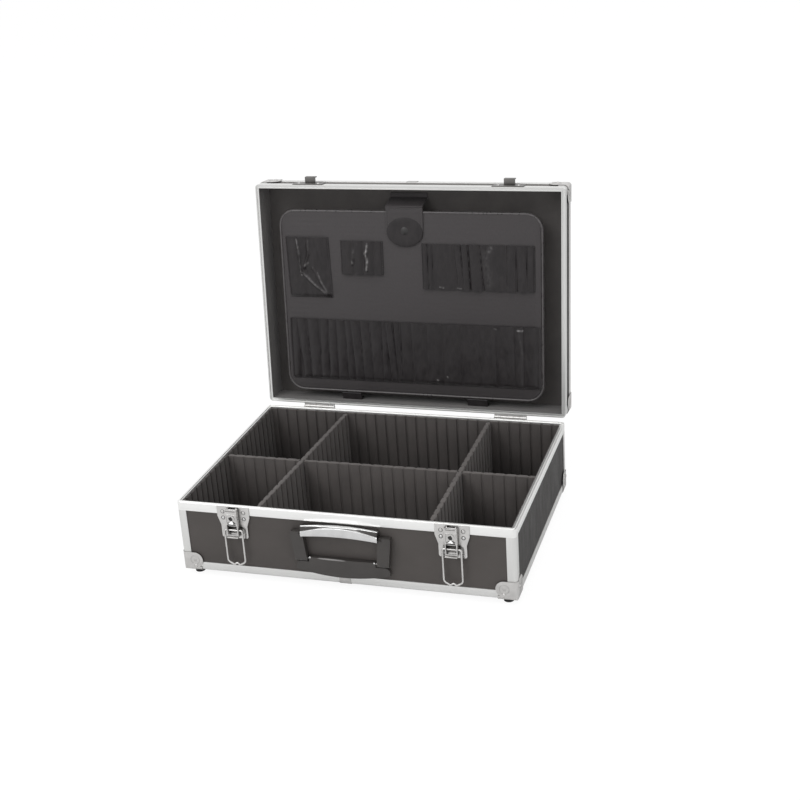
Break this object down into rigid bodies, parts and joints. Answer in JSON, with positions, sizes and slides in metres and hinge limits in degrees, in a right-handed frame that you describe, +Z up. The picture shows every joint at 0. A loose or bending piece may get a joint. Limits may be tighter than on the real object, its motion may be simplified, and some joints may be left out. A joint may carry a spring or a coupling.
{
  "type": "art supply box",
  "caption": "Aluminium-edged carrying case with black panels, an open lid with a tool pallet, a divided base, two draw latches and a folding handle.",
  "frame": {"origin": "middle of the case's width and depth, on the plane that the feet stand on", "axes": "+X along the case's width, +Y from the front with the handle to the hinged back, +Z up"},
  "size_m": [0.4592, 0.4207, 0.4495],
  "materials": {
    "aluminium_edging": "extruded, satin anodised, with fine lengthwise lines",
    "black_panel": "matt laminate with a fine grain",
    "satin_nickel": "satin nickel plating",
    "bright_nickel": "bright nickel plating",
    "moulded_black": "satin moulded plastic",
    "divider_board": "matt foamed board",
    "lining_cloth": "short felt",
    "pallet_cloth": "coated cloth with a fine weave",
    "pallet_piping": "soft vinyl piping",
    "black_vinyl": "thin glossy vinyl",
    "black_snap": "glossy moulded plastic",
    "black_rubber": "matt rubber"
  },
  "bodies": {
    "base": {"base_front_panel": "black_panel", "base_back_panel": "black_panel", "base_side_panels": "black_panel", "base_bottom_panel": "black_panel", "base_rim": "aluminium_edging", "base_bottom_edge": "aluminium_edging", "base_corner_posts": "aluminium_edging", "base_corner_caps": "satin_nickel", "base_rivets": "satin_nickel", "base_seam_clip": "satin_nickel", "feet": "black_rubber", "foot_screws": "satin_nickel", "lining_front": "divider_board", "lining_back": "divider_board", "lining_sides": "divider_board", "floor_pad": "lining_cloth", "left_latch_plate": "bright_nickel", "right_latch_plate": "bright_nickel", "lever_pins": "bright_nickel", "latch_rivets": "bright_nickel", "handle_base": "moulded_black", "handle_pins": "bright_nickel", "handle_screws": "satin_nickel", "hinge_base_leaves": "satin_nickel", "hinge_pins": "satin_nickel"},
    "lid": {"hinge_lid_leaves": "satin_nickel", "lid_front_panel": "black_panel", "lid_back_panel": "black_panel", "lid_side_panels": "black_panel", "lid_top_panel": "black_panel", "lid_rim": "aluminium_edging", "lid_top_edge": "aluminium_edging", "lid_corner_posts": "aluminium_edging", "lid_corner_caps": "satin_nickel", "lid_rivets": "satin_nickel", "lid_seam_clip": "satin_nickel", "lid_lining": "lining_cloth", "latch_catches": "bright_nickel", "top_strap": "pallet_cloth", "pallet_hinge_straps": "black_vinyl"},
    "pallet": {"pallet_board": "pallet_cloth", "pallet_piping": "pallet_piping", "tall_pocket": "black_vinyl", "short_pocket": "black_vinyl", "upper_tool_loops": "black_vinyl", "lower_tool_pocket": "black_vinyl", "strap_tongue": "pallet_cloth", "strap_stud": "black_snap"},
    "handle": {"handle_loop": "moulded_black", "grip_cover": "bright_nickel"},
    "left_lever": {"left_latch_lever": "bright_nickel"},
    "right_lever": {"right_latch_lever": "bright_nickel"},
    "left_bail": {"left_bail": "bright_nickel"},
    "right_bail": {"right_bail": "bright_nickel"},
    "left_lock": {"left_lock_plug": "bright_nickel"},
    "right_lock": {"right_lock_plug": "bright_nickel"},
    "long_divider": {"long_divider": "divider_board"},
    "left_cross_divider": {"left_cross_divider": "divider_board"},
    "right_cross_divider": {"right_cross_divider": "divider_board"}
  },
  "joints": [
    {"name": "lid_hinge", "type": "hinge", "parent": "base", "child": "lid", "pos_m": [0, 0.1695, 0.108], "axis": [1, 0, 0], "range_deg": [0, 95]},
    {"name": "pallet_swing", "type": "hinge", "parent": "lid", "child": "pallet", "pos_m": [0, 0.18439, 0.12677], "axis": [-1, 0, 0], "range_deg": [-95, 0]},
    {"name": "handle_fold", "type": "hinge", "parent": "base", "child": "handle", "pos_m": [0, -0.1683, 0.0445], "axis": [1, 0, 0], "range_deg": [0, 90]},
    {"name": "left_lever_lift", "type": "hinge", "parent": "base", "child": "left_lever", "pos_m": [-0.147, -0.169, 0.105], "axis": [1, 0, 0], "range_deg": [-85, 0]},
    {"name": "left_bail_swing", "type": "hinge", "parent": "left_lever", "child": "left_bail", "pos_m": [-0.147, -0.1709, 0.0767], "axis": [-1, 0, 0], "range_deg": [0, 182]},
    {"name": "left_lock_turn", "type": "hinge", "parent": "left_lever", "child": "left_lock", "pos_m": [-0.147, -0.174, 0.095], "axis": [0, -1, 0], "range_deg": [0, 90]},
    {"name": "right_lever_lift", "type": "hinge", "parent": "base", "child": "right_lever", "pos_m": [0.147, -0.169, 0.105], "axis": [1, 0, 0], "range_deg": [-85, 0]},
    {"name": "right_bail_swing", "type": "hinge", "parent": "right_lever", "child": "right_bail", "pos_m": [0.147, -0.1709, 0.0767], "axis": [-1, 0, 0], "range_deg": [0, 182]},
    {"name": "right_lock_turn", "type": "hinge", "parent": "right_lever", "child": "right_lock", "pos_m": [0.147, -0.174, 0.095], "axis": [0, -1, 0], "range_deg": [0, 90]},
    {"name": "long_divider_lift", "type": "slide", "parent": "base", "child": "long_divider", "axis": [0, 0, -1], "range_m": [-0.12, 0]},
    {"name": "left_cross_divider_lift", "type": "slide", "parent": "long_divider", "child": "left_cross_divider", "axis": [0, 0, -1], "range_m": [-0.1, 0]},
    {"name": "right_cross_divider_lift", "type": "slide", "parent": "long_divider", "child": "right_cross_divider", "axis": [0, 0, -1], "range_m": [-0.1, 0]}
  ]
}
